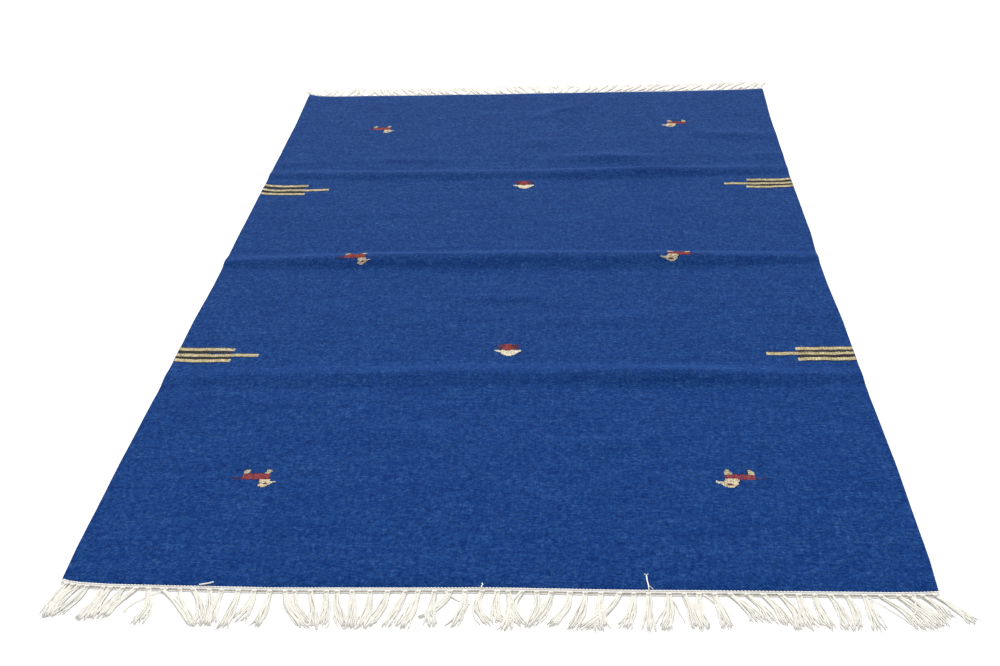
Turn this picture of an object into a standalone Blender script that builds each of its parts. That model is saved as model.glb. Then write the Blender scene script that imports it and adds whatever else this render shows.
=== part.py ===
"""A flat-woven kilim rug, 1.2 by 1.8 m, laid out on a floor after it was folded in four.

Three solids: the woven field, and at each end a narrow cotton heading with its knotted fringe.
Metres, +Z up, X across the rug, Y along it from the near end to the far end, the floor at z = 0.
"""

import bmesh
import bpy
import numpy as np

# The cloth
FIELD_WIDTH = 1.200
FIELD_LENGTH = 1.790
CLOTH_THICKNESS = 0.003
COLUMNS = 21
PIECE_GAP = 0.0003

# How far each selvedge lies outside a straight one: place along the rug (-1 near end to 1), left, right
SELVEDGE_BOW = (
    (-1.00, 0.006, 0.003),
    (-0.70, 0.006, 0.003),
    (-0.50, 0.004, 0.000),
    (-0.25, 0.004, -0.002),
    (-0.10, 0.001, -0.007),
    (0.30, 0.001, -0.007),
    (0.40, 0.001, -0.011),
    (0.55, 0.000, -0.007),
    (0.80, 0.000, -0.007),
    (1.00, 0.005, -0.003),
)

# How far each end lies outside a straight one: place across the rug (-1 left to 1), near end, far end
END_BOW = (
    (-1.0, 0.001, 0.003),
    (-0.9, 0.003, -0.006),
    (-0.5, 0.007, -0.011),
    (-0.2, 0.004, -0.012),
    (0.0, 0.001, -0.010),
    (0.6, 0.001, -0.009),
    (0.9, 0.001, -0.004),
    (1.0, 0.001, 0.001),
)

# The creases left by folding: five places across the rug that the crest and height columns refer to
CREASE_PLACES = (-1.0, -0.5, 0.0, 0.5, 1.0)
CREASES = {
    "near": {
        "crest": (-0.403, -0.396, -0.390, -0.394, -0.398),
        "height": (0.0045, 0.0055, 0.0070, 0.0085, 0.0060),
        "near_run": 0.046,
        "far_run": 0.036,
    },
    "middle": {
        "crest": (0.002, 0.010, 0.013, 0.010, 0.004),
        "height": (0.0070, 0.0110, 0.0115, 0.0110, 0.0085),
        "near_run": 0.052,
        "far_run": 0.040,
    },
    "far": {
        "crest": (0.412, 0.404, 0.401, 0.408, 0.412),
        "height": (0.0050, 0.0060, 0.0065, 0.0085, 0.0070),
        "near_run": 0.042,
        "far_run": 0.030,
    },
    "short": {
        "crest": (0.487, 0.487, 0.485, 0.483, 0.483),
        "height": (0.0000, 0.0010, 0.0014, 0.0036, 0.0000),
        "near_run": 0.026,
        "far_run": 0.026,
    },
}
ROWS_TO_CREST = 4
FLAT_ROWS = 1

# The headings and their knots
HEADING_BAND = 0.0075
HEADING_DEPTH = 0.012
HEADING_THICKNESS = 0.003
CORD_THICKNESS = 0.0025
KNOT_THICKNESS = 0.0042
TASSELS = 58
TASSEL_SCATTER = 0.003
LOCK_WIDTH = 0.0024
LOCK_GAP = 0.0006

# Where each lock's sections lie: share of the way to the tip, width against the root's, thickness
LOCK_SECTIONS = (
    (0.24, 1.10, 0.0028),
    (0.62, 1.10, 0.0022),
    (1.00, 0.55, 0.0012),
)
LOCK_SPACING = 0.0045
LOCK_SPLAY = 0.0035
LOCK_BEND = 0.004
LOCK_REACH_SCATTER = 0.003

# How the tassels lie: place across the rug, sideways lean of the tip, reach beyond the cloth's end
NEAR_LAY = (
    (-0.600, -0.008, 0.072),
    (-0.560, -0.004, 0.069),
    (-0.494, -0.029, 0.070),
    (-0.474, 0.004, 0.075),
    (-0.456, 0.050, 0.075),
    (-0.412, 0.020, 0.076),
    (-0.372, -0.002, 0.074),
    (-0.326, -0.010, 0.067),
    (-0.300, -0.004, 0.076),
    (-0.282, 0.036, 0.076),
    (-0.225, 0.005, 0.077),
    (-0.205, 0.016, 0.076),
    (-0.115, -0.017, 0.075),
    (-0.075, -0.007, 0.074),
    (-0.054, -0.022, 0.064),
    (-0.010, 0.008, 0.073),
    (0.050, 0.003, 0.078),
    (0.110, -0.024, 0.072),
    (0.152, -0.001, 0.076),
    (0.177, -0.044, 0.076),
    (0.217, -0.003, 0.076),
    (0.305, 0.011, 0.072),
    (0.326, 0.030, 0.061),
    (0.440, 0.011, 0.071),
    (0.504, 0.006, 0.072),
    (0.525, 0.040, 0.068),
    (0.600, 0.034, 0.060),
)
FAR_LAY = (
    (-0.600, -0.018, 0.056),
    (-0.560, 0.008, 0.062),
    (-0.420, -0.014, 0.065),
    (-0.320, -0.024, 0.063),
    (-0.240, 0.010, 0.062),
    (-0.100, 0.028, 0.066),
    (0.200, 0.038, 0.065),
    (0.420, 0.040, 0.066),
    (0.560, 0.026, 0.062),
    (0.600, 0.010, 0.058),
)
ENDS = {
    "near_fringe": {"side": -1, "lay": NEAR_LAY, "locks": (3, 2), "seed": 11},
    "far_fringe": {"side": 1, "lay": FAR_LAY, "locks": (2, 2), "seed": 23},
}

# Materials: colour, roughness
BLUE_WOOL = ("blue wool", (0.022, 0.063, 0.216), 0.92)
WHITE_COTTON = ("off-white cotton", (0.83, 0.79, 0.69), 0.88)


def clear_scene():
    for thing in list(bpy.data.objects):
        bpy.data.objects.remove(thing, do_unlink=True)


def make_material(name, colour, roughness):
    material = bpy.data.materials.new(name)
    material.use_nodes = True
    shader = material.node_tree.nodes["Principled BSDF"]
    shader.inputs["Base Color"].default_value = (*colour, 1.0)
    shader.inputs["Roughness"].default_value = roughness
    shader.inputs["Metallic"].default_value = 0.0
    return material


def add_object(name, mesh, material):
    mesh.materials.append(material)
    made = bpy.data.objects.new(name, mesh)
    bpy.context.scene.collection.objects.link(made)
    return made


def column_of(table, places, column):
    """One column of a table, read off at the given places between its rows."""
    rows = np.array(table)
    return np.interp(places, rows[:, 0], rows[:, column])


def end_line(side, across):
    """Y of the cloth's end on one side, at shares across the width."""
    column = 1 if side < 0 else 2
    return side * (FIELD_LENGTH / 2 + column_of(END_BOW, across, column))


def selvedge_x(along):
    """X of the left and of the right selvedge, at shares along the length."""
    left = -FIELD_WIDTH / 2 - column_of(SELVEDGE_BOW, along, 1)
    right = FIELD_WIDTH / 2 + column_of(SELVEDGE_BOW, along, 2)
    return left, right


def crease_rows(crease, across):
    """Rows of points over one crease: a half cosine up its near slope and another down its far slope."""
    crest = np.interp(across, CREASE_PLACES, crease["crest"])
    height = np.interp(across, CREASE_PLACES, crease["height"])
    steps = np.linspace(-1, 1, 2 * ROWS_TO_CREST + 1)[:, None]
    run = np.where(steps < 0, crease["near_run"], crease["far_run"])
    return crest + steps * run, height * (1 + np.cos(np.pi * steps)) / 2


def field_rows(across):
    """All rows of the cloth's underside, from the near end to the far end: Y and Z of each point."""
    blocks = [crease_rows(crease, across) for crease in CREASES.values()]
    blocks.append((end_line(1, across)[None, :], np.zeros((1, len(across)))))
    ys = [end_line(-1, across)[None, :]]
    zs = [np.zeros((1, len(across)))]
    for block_y, block_z in blocks:
        share = np.arange(1, FLAT_ROWS + 1)[:, None] / (FLAT_ROWS + 1)
        ys.append(ys[-1][-1] + share * (block_y[0] - ys[-1][-1]))
        zs.append(np.zeros((FLAT_ROWS, len(across))))
        ys.append(block_y)
        zs.append(block_z)
    return np.vstack(ys), np.vstack(zs)


def build_field(material):
    """The cloth: its underside as a grid of rows, given its thickness upwards."""
    across = np.linspace(-1, 1, COLUMNS)
    y, z = field_rows(across)
    left, right = selvedge_x(y / (FIELD_LENGTH / 2))
    x = left + (across + 1) / 2 * (right - left)
    rows, columns = x.shape
    first = (np.arange(rows - 1)[:, None] * columns + np.arange(columns - 1)).ravel()
    faces = np.stack([first, first + 1, first + columns + 1, first + columns], axis=1)
    points = np.stack([x, y, z], axis=-1).reshape(-1, 3)
    mesh = bpy.data.meshes.new("rug_field")
    mesh.from_pydata(points.tolist(), [], faces.tolist())
    field = add_object("rug_field", mesh, material)
    solidify = field.modifiers.new("cloth thickness", "SOLIDIFY")
    solidify.thickness = CLOTH_THICKNESS
    solidify.offset = 1.0
    return field


def keep_apart(places, spacing):
    """Places from left to right, pushed both ways until each is at least the spacing from the next."""
    steps = spacing * np.arange(len(places))
    pushed_right = np.maximum.accumulate(places - steps)
    pushed_left = np.minimum.accumulate((places - steps)[::-1])[::-1]
    return (pushed_right + pushed_left) / 2 + steps


def tassel_roots(end, chance):
    """X of each tassel's knot and how many locks it has, spread between the cloth's two corners."""
    left, right = selvedge_x(np.array([end["side"]]))
    counts = np.resize(end["locks"], TASSELS)
    half_tassel = (max(end["locks"]) * (LOCK_WIDTH + LOCK_GAP) + LOCK_GAP) / 2
    knots = np.linspace(left[0] + half_tassel, right[0] - half_tassel, TASSELS)
    knots[1:-1] += chance.uniform(-TASSEL_SCATTER, TASSEL_SCATTER, TASSELS - 2)
    return knots, counts


def lock_roots(knots, counts):
    """X of each lock's root, and the lock's place in its tassel from -1 to 1."""
    owner = np.repeat(np.arange(len(knots)), counts)
    number = np.arange(len(owner)) - np.repeat(np.cumsum(counts) - counts, counts)
    place = number - (counts[owner] - 1) / 2
    return owner, knots[owner] + place * (LOCK_WIDTH + LOCK_GAP), place


def lock_sections(end, knots, counts, chance):
    """Centre, reach, width and thickness of each section of each lock, laid flat on the floor."""
    owner, roots, place = lock_roots(knots, counts)
    lean = column_of(end["lay"], knots, 1)[owner]
    reach = column_of(end["lay"], knots, 2)[owner]
    reach = reach + chance.uniform(-LOCK_REACH_SCATTER, LOCK_REACH_SCATTER, len(roots))
    bend = chance.uniform(-LOCK_BEND, LOCK_BEND, len(knots))[owner]
    sections = []
    for share, width, thickness in LOCK_SECTIONS:
        drift = lean * share + place * LOCK_SPLAY * share + bend * np.sin(np.pi * share)
        centres = keep_apart(roots + drift, LOCK_SPACING)
        out = HEADING_DEPTH + (reach - HEADING_DEPTH) * share
        sections.append((centres, out, width * LOCK_WIDTH, thickness))
    return roots, sections


def share_across(side, x):
    """Shares across the cloth's end, -1 at its left corner to 1 at its right, of points at x."""
    left, right = selvedge_x(np.array([side]))
    return 2 * (x - left[0]) / (right[0] - left[0]) - 1


def heading_columns(end, knots, roots):
    """X and outer thickness of every column of the heading, and the number of each lock's left column.

    A column stands at each side of each lock's root, halfway between knots and at the two corners.
    """
    left, right = selvedge_x(np.array([end["side"]]))
    lock_sides = np.stack([roots - LOCK_WIDTH / 2, roots + LOCK_WIDTH / 2], axis=1).ravel()
    between = np.concatenate([left, (knots[:-1] + knots[1:]) / 2, right])
    x = np.sort(np.concatenate([lock_sides, between]))
    outer_height = np.where(np.isin(x, between), CORD_THICKNESS, KNOT_THICKNESS)
    return x, outer_height, np.searchsorted(x, roots) - 1


def build_heading(end, x, outer_height):
    """The heading as a closed strip of columns, with the faces of its outer wall from left to right."""
    side = end["side"]
    inner = end_line(side, share_across(side, x)) + side * PIECE_GAP
    flat = np.zeros(len(x))
    band_height = np.full(len(x), HEADING_THICKNESS)
    section = (
        (0.0, flat),
        (HEADING_DEPTH, flat),
        (HEADING_DEPTH, outer_height),
        (HEADING_BAND, band_height),
        (0.0, band_height),
    )
    mesh = bmesh.new()
    loops = []
    for index, place in enumerate(x):
        loop = [mesh.verts.new((place, inner[index] + side * out, high[index])) for out, high in section]
        loops.append(loop)
    walls = []
    for near_loop, next_loop in zip(loops, loops[1:]):
        for low in range(len(section)):
            high = (low + 1) % len(section)
            face = mesh.faces.new((near_loop[low], near_loop[high], next_loop[high], next_loop[low]))
            if low == 1:
                walls.append(face)
    mesh.faces.new(loops[0])
    mesh.faces.new(loops[-1][::-1])
    return mesh, walls


def draw_lock(mesh, wall, inner_y, side, sections):
    """Draws one lock out of its wall face, section by section, with its underside on the floor."""
    face = wall
    for centre, out, width, thickness in sections:
        face = bmesh.ops.extrude_discrete_faces(mesh, faces=[face])["faces"][0]
        middle = face.calc_center_median()
        for vert in face.verts:
            to_right = 1 if vert.co.x > middle.x else -1
            vert.co.z = thickness if vert.co.z > middle.z else 0.0
            vert.co.x = centre + to_right * width / 2
            vert.co.y = inner_y + side * out


def build_fringe(name, end, material):
    """A heading with its locks: the fused roots are the heading's outer wall."""
    chance = np.random.default_rng(end["seed"])
    knots, counts = tassel_roots(end, chance)
    roots, sections = lock_sections(end, knots, counts, chance)
    x, outer_height, lock_columns = heading_columns(end, knots, roots)
    mesh, walls = build_heading(end, x, outer_height)
    cloth_end = end_line(end["side"], share_across(end["side"], roots))
    for index, column in enumerate(lock_columns):
        laid = [(centres[index], out[index], width, thickness) for centres, out, width, thickness in sections]
        draw_lock(mesh, walls[column], cloth_end[index], end["side"], laid)
    bmesh.ops.recalc_face_normals(mesh, faces=mesh.faces)
    shape = bpy.data.meshes.new(name)
    mesh.to_mesh(shape)
    mesh.free()
    return add_object(name, shape, material)


def centre_on_floor(objects):
    """Moves every point so that the rug's box is centred over the origin."""
    points = np.concatenate([[vert.co[:] for vert in made.data.vertices] for made in objects])
    centre = (points.min(axis=0) + points.max(axis=0)) / 2
    for made in objects:
        for vert in made.data.vertices:
            vert.co.x -= centre[0]
            vert.co.y -= centre[1]


def build_rug():
    clear_scene()
    wool = make_material(*BLUE_WOOL)
    cotton = make_material(*WHITE_COTTON)
    pieces = [build_field(wool)]
    for name, end in ENDS.items():
        pieces.append(build_fringe(name, end, cotton))
    centre_on_floor(pieces)


build_rug()
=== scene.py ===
"""The finished look of a flat-woven kilim rug, laid out on a pale floor after it was folded in four.

Every new piece is a surface worked out with numpy in the cloth's own frame: X across, Y from the near end
to the far end, its middle at the origin and the floor at z = 0. new_piece moves it to where the solids lie.
Sizes are in metres.
"""

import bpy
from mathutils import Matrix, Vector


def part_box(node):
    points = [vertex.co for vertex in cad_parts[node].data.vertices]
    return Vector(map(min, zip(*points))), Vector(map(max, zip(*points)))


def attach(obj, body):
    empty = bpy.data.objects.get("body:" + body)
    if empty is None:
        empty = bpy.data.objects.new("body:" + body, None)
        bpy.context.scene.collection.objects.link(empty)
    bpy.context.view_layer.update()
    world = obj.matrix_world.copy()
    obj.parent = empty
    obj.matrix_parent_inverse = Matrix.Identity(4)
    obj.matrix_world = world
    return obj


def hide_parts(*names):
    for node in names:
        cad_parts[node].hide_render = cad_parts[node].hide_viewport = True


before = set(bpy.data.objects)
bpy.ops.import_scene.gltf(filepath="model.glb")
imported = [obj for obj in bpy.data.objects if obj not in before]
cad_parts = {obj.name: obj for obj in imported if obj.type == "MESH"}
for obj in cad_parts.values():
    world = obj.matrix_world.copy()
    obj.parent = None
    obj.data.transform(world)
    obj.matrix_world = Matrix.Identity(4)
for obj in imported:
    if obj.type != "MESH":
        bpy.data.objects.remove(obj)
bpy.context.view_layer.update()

import bpy
import numpy as np
from mathutils import Matrix, Vector

# The cloth
FIELD_WIDTH = 1.200
FIELD_LENGTH = 1.790
THICKNESS = 0.003

# The solid cloth's lowest x and y in this script's frame, and the way from there to the solids' own frame
SOLID_LOW = (-0.606, -0.902)
SHIFT = np.array([*(np.array(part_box("rug_field")[0][:2]) - SOLID_LOW), 0.0])

# How far each selvedge lies outside a straight one: place along the rug (-1 near end to 1), left, right
SELVEDGE_BOW = (
    (-1.00, 0.0055, 0.0025),
    (-0.93, 0.0072, 0.0050),
    (-0.70, 0.0078, 0.0048),
    (-0.50, 0.0050, 0.0008),
    (-0.25, 0.0055, 0.0000),
    (-0.10, 0.0022, -0.0050),
    (0.02, 0.0020, -0.0065),
    (0.12, 0.0028, -0.0032),
    (0.30, 0.0022, -0.0050),
    (0.42, 0.0012, -0.0062),
    (0.55, 0.0012, -0.0050),
    (0.80, 0.0008, -0.0045),
    (1.00, 0.0052, 0.0008),
)

# How far each end lies outside a straight one: place across the rug (-1 left to 1), near end, far end
END_BOW = (
    (-1.00, -0.0050, 0.0150),
    (-0.98, -0.0008, 0.0080),
    (-0.95, 0.0018, 0.0020),
    (-0.88, 0.0044, -0.0025),
    (-0.50, 0.0070, -0.0040),
    (-0.20, 0.0040, -0.0060),
    (0.00, 0.0013, -0.0040),
    (0.30, 0.0025, -0.0040),
    (0.60, 0.0010, -0.0045),
    (0.90, 0.0005, 0.0000),
    (0.96, -0.0008, 0.0020),
    (1.00, -0.0026, 0.0050),
)

# The creases left by folding: five places across the rug that the crest, height and near run refer to
CREASE_PLACES = (-1.0, -0.5, 0.0, 0.5, 1.0)
CREASES = {
    "near": {
        "crest": (-0.403, -0.396, -0.390, -0.394, -0.398),
        "height": (0.0026, 0.0058, 0.0062, 0.0110, 0.0028),
        "near_run": (0.032, 0.042, 0.044, 0.044, 0.032),
        "far_run": 0.036,
    },
    "middle": {
        "crest": (0.002, 0.010, 0.013, 0.010, 0.004),
        "height": (0.0044, 0.0112, 0.0116, 0.0112, 0.0048),
        "near_run": (0.026, 0.047, 0.052, 0.050, 0.028),
        "far_run": 0.033,
    },
    "far": {
        "crest": (0.412, 0.404, 0.401, 0.408, 0.412),
        "height": (0.0026, 0.0068, 0.0064, 0.0106, 0.0026),
        "near_run": (0.028, 0.040, 0.038, 0.042, 0.028),
        "far_run": 0.030,
    },
    "short": {
        "crest": (0.487, 0.487, 0.485, 0.483, 0.483),
        "height": (0.0000, 0.0012, 0.0004, 0.0008, 0.0000),
        "near_run": (0.026, 0.026, 0.026, 0.026, 0.026),
        "far_run": 0.026,
    },
}
# Rows of points: on each slope of a crease, the step on flat cloth, how much closer they lie beside a
# ripple and within how many of its half widths, the narrow row at each end, and the samples for choosing
ROWS_TO_CREST = 8
FLAT_ROW_STEP = 0.0272
RIPPLE_ROWS = 2.2
RIPPLE_ROWS_REACH = 1.6
EDGE_ROW = 0.0015
ROW_SAMPLES = 400
# Smaller ripples of the cloth: middle x and y, turn in degrees, half length, half width, height
RIPPLES = (
    (0.188, 0.482, 0, 0.085, 0.027, 0.0088),
    (-0.010, -0.142, 0, 0.075, 0.014, 0.0044),
    (0.070, 0.768, 28, 0.085, 0.016, 0.0042),
    (0.490, 0.608, -4, 0.090, 0.022, 0.0048),
    (0.000, 0.052, 0, 0.110, 0.020, 0.0026),
    (-0.300, 0.482, 2, 0.090, 0.015, 0.0011),
    (0.150, -0.215, 3, 0.090, 0.018, 0.0020),
    (0.550, -0.440, 0, 0.050, 0.011, 0.0018),
    (-0.560, 0.470, 0, 0.040, 0.016, 0.0020),
    (0.540, 0.490, 4, 0.060, 0.020, 0.0034),
    (0.040, 0.575, 4, 0.050, 0.024, 0.0034),
    (-0.330, 0.210, -2, 0.120, 0.022, 0.0018),
    (-0.420, -0.480, 4, 0.110, 0.020, 0.0018),
    (0.190, -0.580, 3, 0.080, 0.022, 0.0026),
    (-0.180, -0.560, -4, 0.110, 0.022, 0.0016),
    (-0.080, 0.360, 0, 0.120, 0.014, 0.0012),
)

# Low waves all over the cloth: height, then two sines, each by radians a metre in x and y, and phase
LOW_WAVES = (
    (0.00035, (23, 9, 1.0), (-7, 31, 0.4)),
    (0.00018, (61, -40, 2.0), (37, 83, 1.3)),
)

# The weave: ribs over the warps, beads of weft across them
RIBS = 255
RIB_HEIGHT = 0.0003
RIB_PITCH = FIELD_WIDTH / RIBS
TOOTH = 0.0012
UNDERSIDE_STEP = 10
PICK = 0.0023
# What is left of the thickness at the selvedges and at the two ends
SELVEDGE_FULLNESS = 0.72
END_FULLNESS = 0.8

# The selvedge turns: picks and points to a turn, and the tube's place, radius and swelling
TURN_PICKS = 1.6
TURN_POINTS = 3
TURNS_START = 0.004
TURNS_INSET = 0.0012
TURNS_RAISE = 0.0002
TURNS_RADIUS = 0.00155
TURNS_SWELL = 0.12
TURNS_SIDES = 8

# A bead of coloured weft: its stations in shares of its reach, its size, how far it sinks in and strays
BEAD_STATIONS = (-0.6, -0.3, 0.3, 0.6)
BEAD_HEIGHT = 0.00045
BEAD_HALF_WIDTH = 0.56 * PICK
BEAD_SIDES = 6
BEAD_SIZES = (0.88, 1.10)
BEAD_SINK = 0.00018
BEAD_STRAY = 0.00012
BEAD_UNEVEN = 0.00005
# What is left of a bead's height and width at its ends, in the small motifs and in the combs
MOTIF_BEAD_ENDS = (0.4, 0.7)
COMB_BEAD_ENDS = (0.1, 0.37)
MOTIF_SEED = 8

# The heading: rows of twined cotton, a dark flat cord in the slot beside them as painted shade of the slot,
# an outer cord and the knots
TWINED_ROWS = (0.0008, 0.0022, 0.0036)
TWINE_RADIUS = 0.00110
TWINE_SWELL = 0.33
TWINE_SLANT = 0.4
TWINE_SIDES = 7
FIRST_ROW_RAISE = 0.0012
POINTS_TO_WARP = 6
# Height of a cord's middle over the floor, in its radii
CORD_REST = 1.05
SLOT_OUT = 0.0062
SLOT_RADIUS = 0.0017
SLOT_HEIGHT = 0.0006
SLOT_FLATNESS = 0.3
OUTER_CORD_OUT = 0.0080
OUTER_CORD_RADIUS = 0.0006
OUTER_CORD_SWELL = 0.3
CORD_SIDES = 6
KNOT_OUT = 0.0067
KNOT_HEIGHT = 0.0021
KNOT_HALF_SIZE = (0.0029, 0.0021, 0.0019)
KNOT_GRID = (12, 7)
# A knot's grooves: depth, how many there are round it, and how they wind as they rise
KNOT_GROOVES = (0.08, 3, 2.5)
KNOT_UV = 0.25
YARN_RADIUS = 0.0011
YARN_LAY = 0.0035
YARN_SIDES = 6

# The near tassels as they lie, in millimetres: place across the rug, lean of the tip, reach, sideways bend
NEAR_TASSELS = (
    (-597, -8, 70, -4),
    (-587, -15, 71, -4),
    (-577, -21, 69, -5),
    (-565, -22, 64, 3),
    (-542, -14, 72, 3),
    (-531, -12, 69, -2),
    (-513, -17, 66, 0),
    (-494, -29, 67, -3),
    (-476, 4, 75, 6),
    (-456, 55, 74, 5),
    (-432, 34, 76, -4),
    (-412, 21, 76, 8),
    (-389, 10, 76, 4),
    (-372, -1, 74, -2),
    (-348, -6, 79, 2),
    (-326, -10, 66, 4),
    (-304, -5, 76, 2),
    (-282, 36, 76, -6),
    (-269, 26, 70, -5),
    (-247, 16, 78, 2),
    (-225, 4, 76, 3),
    (-210, 18, 76, -3),
    (-189, 7, 77, 2),
    (-164, -4, 77, 3),
    (-140, -16, 74, 3),
    (-115, -17, 75, 0),
    (-98, -15, 78, 2),
    (-75, 0, 74, -2),
    (-54, -31, 60, 5),
    (-33, -12, 75, 4),
    (-10, 8, 72, -9),
    (11, 5, 68, -3),
    (26, 0, 79, 5),
    (45, 5, 73, -14),
    (65, -8, 73, 4),
    (85, -21, 70, 3),
    (110, -24, 72, 5),
    (131, -17, 76, 3),
    (152, 0, 76, -2),
    (177, -46, 76, 6),
    (196, -13, 75, 3),
    (217, -3, 76, 0),
    (244, -8, 74, 3),
    (264, 12, 73, 2),
    (284, 3, 71, -4),
    (305, 11, 71, 0),
    (326, 31, 59, 5),
    (348, 27, 61, 5),
    (370, 25, 66, 4),
    (393, 18, 72, 6),
    (417, 14, 70, -3),
    (438, 11, 71, -2),
    (459, 12, 70, 3),
    (480, 4, 72, 4),
    (504, 7, 72, 0),
    (525, 41, 68, 6),
    (548, 35, 68, 4),
    (563, 32, 63, 3),
    (580, 23, 52, 4),
    (597, 36, 60, 3),
)
# The far fringe in millimetres: place across the rug, lean, reach
FAR_LAY = (
    (-600, -20, 56),
    (-560, -4, 62),
    (-480, 6, 62),
    (-420, -10, 65),
    (-280, -32, 64),
    (-120, -14, 64),
    (20, -20, 64),
    (110, 12, 64),
    (200, 40, 65),
    (420, 42, 66),
    (560, 28, 62),
    (600, 8, 58),
)
# The far tassels: their number, the first and last place, and how far each value strays, in millimetres
FAR_TASSELS = 60
FAR_ENDS = (-597, 592)
FAR_STRAY = {"place": 4, "lean": 9, "reach": 4, "bend": 6}
FAR_SEED = 5
# Each fringe: its side, its random seed, and the half width and half height of a yarn in yarn radii
FRINGES = {
    "near": {"side": -1, "seed": 3, "flat": (1.30, 0.25)},
    "far": {"side": 1, "seed": 4, "flat": (1.9, 0.25)},
}
TASSEL_YARNS = 12
# A yarn's way: it starts in the heading, is drawn in at the knot, and its spread grows to the tip
YARN_STATIONS = 14
YARN_START = 0.0036
KNOT_STATION = 0.12
YARN_REACH_LESS = 0.008
YARN_REACHES = (-0.13, 0.04)
ROOT_SPREAD = 0.0030
KNOT_DRAWN_IN = 0.0008
YARN_SPREAD = 0.0027
TIP_SPREAD = 0.0047
TIP_SHARES = (0.7, 1.25)
TIP_STRAY = 0.34
OUTWARD_POWER = 0.95
TIP_POWER = 0.6
YARN_BELLY = 0.0014
YARN_WAVE = 0.0013
YARN_WAVINESS = (5, 14)
WHOLE_TURN = 6.3
# A yarn's height: at rest in yarn radii, the pile at the knot and at the tip, and a ripple
YARN_REST = 0.33
PILE_AT_KNOT = 0.0015
PILE_AT_TIP = 0.0002
PILE_POWER = 0.7
YARN_RIPPLE = 0.0003
RIPPLE_OUTWARD = 9
RIPPLE_BY_LAYER = 6
# A yarn's size: how much it differs, and how thick it is at the knot and how much less at the tip
YARN_SIZES = (0.85, 1.15)
KNOT_THICKNESS = 1.05
TIP_THINNER = 0.45
# Frayed hairs at each yarn's tip: their number, length, swing, and the place, radius and height of a hair
HAIRS = 2
HAIR_STATIONS = 4
HAIR_LENGTHS = (0.004, 0.008)
HAIR_SWING = 0.5
HAIR_ROOT = 0.002
HAIR_STRAY = 0.0006
HAIR_RADIUS = 0.00040
HAIR_TAPER = 0.6
HAIR_HEIGHT = 0.0005
HAIR_SIDES = 3
# Single yarns that stray from the near fringe, in millimetres: place, lean, reach, bend
STRAYS = (
    (-449, -50, 62, -10),
    (-60, 34, 40, -4),
    (243, 16, 70, 3),
    (291, 32, 68, 6),
    (504, 48, 62, 4),
    (570, -16, 66, 3),
)

# Loose ends of the heading's yarn, lying on the blue near the near edge: radius and way of each stretch.
# The third thread has a second ply beside it and two frayed tips.
LOOSE_THREADS = (
    (0.0010, ((-0.405, -0.900), (-0.399, -0.8985), (-0.392, -0.8970), (-0.386, -0.8945))),
    (0.0009, ((-0.0105, -0.900), (-0.0110, -0.8960), (-0.0095, -0.8930), (-0.0105, -0.8900))),
    (0.0009, ((0.2170, -0.899), (0.2170, -0.8900), (0.2155, -0.8810), (0.2150, -0.8720))),
    (0.0004, ((0.2235, -0.8965), (0.2220, -0.8950), (0.2200, -0.8930), (0.2175, -0.8895))),
    (0.0005, ((0.2150, -0.8725), (0.2142, -0.8700), (0.2132, -0.8690), (0.2120, -0.8680))),
    (0.0005, ((0.2150, -0.8725), (0.2156, -0.8700), (0.2166, -0.8690), (0.2176, -0.8682))),
)
LOOSE_REST = 0.8

# Woven charts, far side first: one letter to half a warp and a pick
# D marks dark picks along the motifs' edges: painted shade of the slits between colours
LEFT_ANIMAL = (
    ".........DDD...........DDD.........",
    "..........SSS...........SSS........",
    ".........SSSS..........DSSSS.......",
    ".........SSSS..........DSSS........",
    ".........SSSDDDDDDDDDDDSSS.........",
    ".........RRRRRRRRRRRRRRRRRR........",
    ".........RRRRRRRRRRRRRRRRRR........",
    ".........RRRRRRRRRRRRRRRRRR........",
    "..PPPP.P.RRRRRRRRRRRRRRRRRR........",
    ".PPPPPPPPRRRRRRRRRRRRRRRRRR........",
    "...PPPPPPRRRRRRRRRRRRRRRRRR........",
    "....PP.PP............CCCCCCC.......",
    "....................DCCCCCCC.......",
    "....................DCCCCCCCCCCC...",
    ".....................DCCCECCCC.....",
    ".....................DCCEEECC......",
    "....................DCCCCCCC.......",
    ".....................CCCCCCD.......",
    "......................DCCCD........",
)
RIGHT_ANIMAL = (
    ".........DD............DD.............",
    ".........SS............SS.............",
    "........SSS...........DSSS............",
    "........SSSS..........DSSSS...........",
    "........SSSSS.........DSSSS...........",
    "........SSSSSDDDDDDDDDDSSSS...........",
    "........RRRRRRRRRRRRRRRRRRR...........",
    "........RRRRRRRRRRRRRRRRRRR...........",
    ".......DRRRRRRRRRRRRRRRRRRR....PPPPP..",
    ".......DRRRRRRRRRRRRRRRRRRRPPPPPP.....",
    "........CCCCCCCCRRRRRRRRRRRPPP........",
    "........CCCCCCCCCD....................",
    "..C....CCCCCCCCCCD....................",
    "..CCCCCCCCCCCCCCD.....................",
    "...CCCCCCCCCCCCCD.....................",
    ".....CCCCEEECCCC......................",
    ".....DCCEEEEECCD......................",
    ".......CCCCCCCD.......................",
    ".........CCCCD........................",
)
TRIANGLE = (
    "....MM.MRRRRM.M.M...",
    "..MM.MMMRRRRRMMM.MM.",
    "...PMMMMRRRRRMMMM...",
    "..PMMMMRRRRRRRMMMM..",
    ".PMMMMRRRRRRRRMMMMP.",
    "...MMMRRRRRRRRMMMM..",
    "...DMMMRRRRRRRMMMD..",
    "...DDDDRRRRRRRDDDD..",
    "WWWWDWWWRRRRWWWWWWWW",
    ".WWWWWWWWWWWWWWWWWWW",
    "..DWWWWWWWWWWWWWWWWD",
    "...DDWWWWWWWWWWWWWD.",
    "....DWWWWWWWWWWWWD..",
    ".....DWWWWWWWWWWD...",
    "......DWWWWWWWWD....",
    "........DWWWWD......",
)
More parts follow.
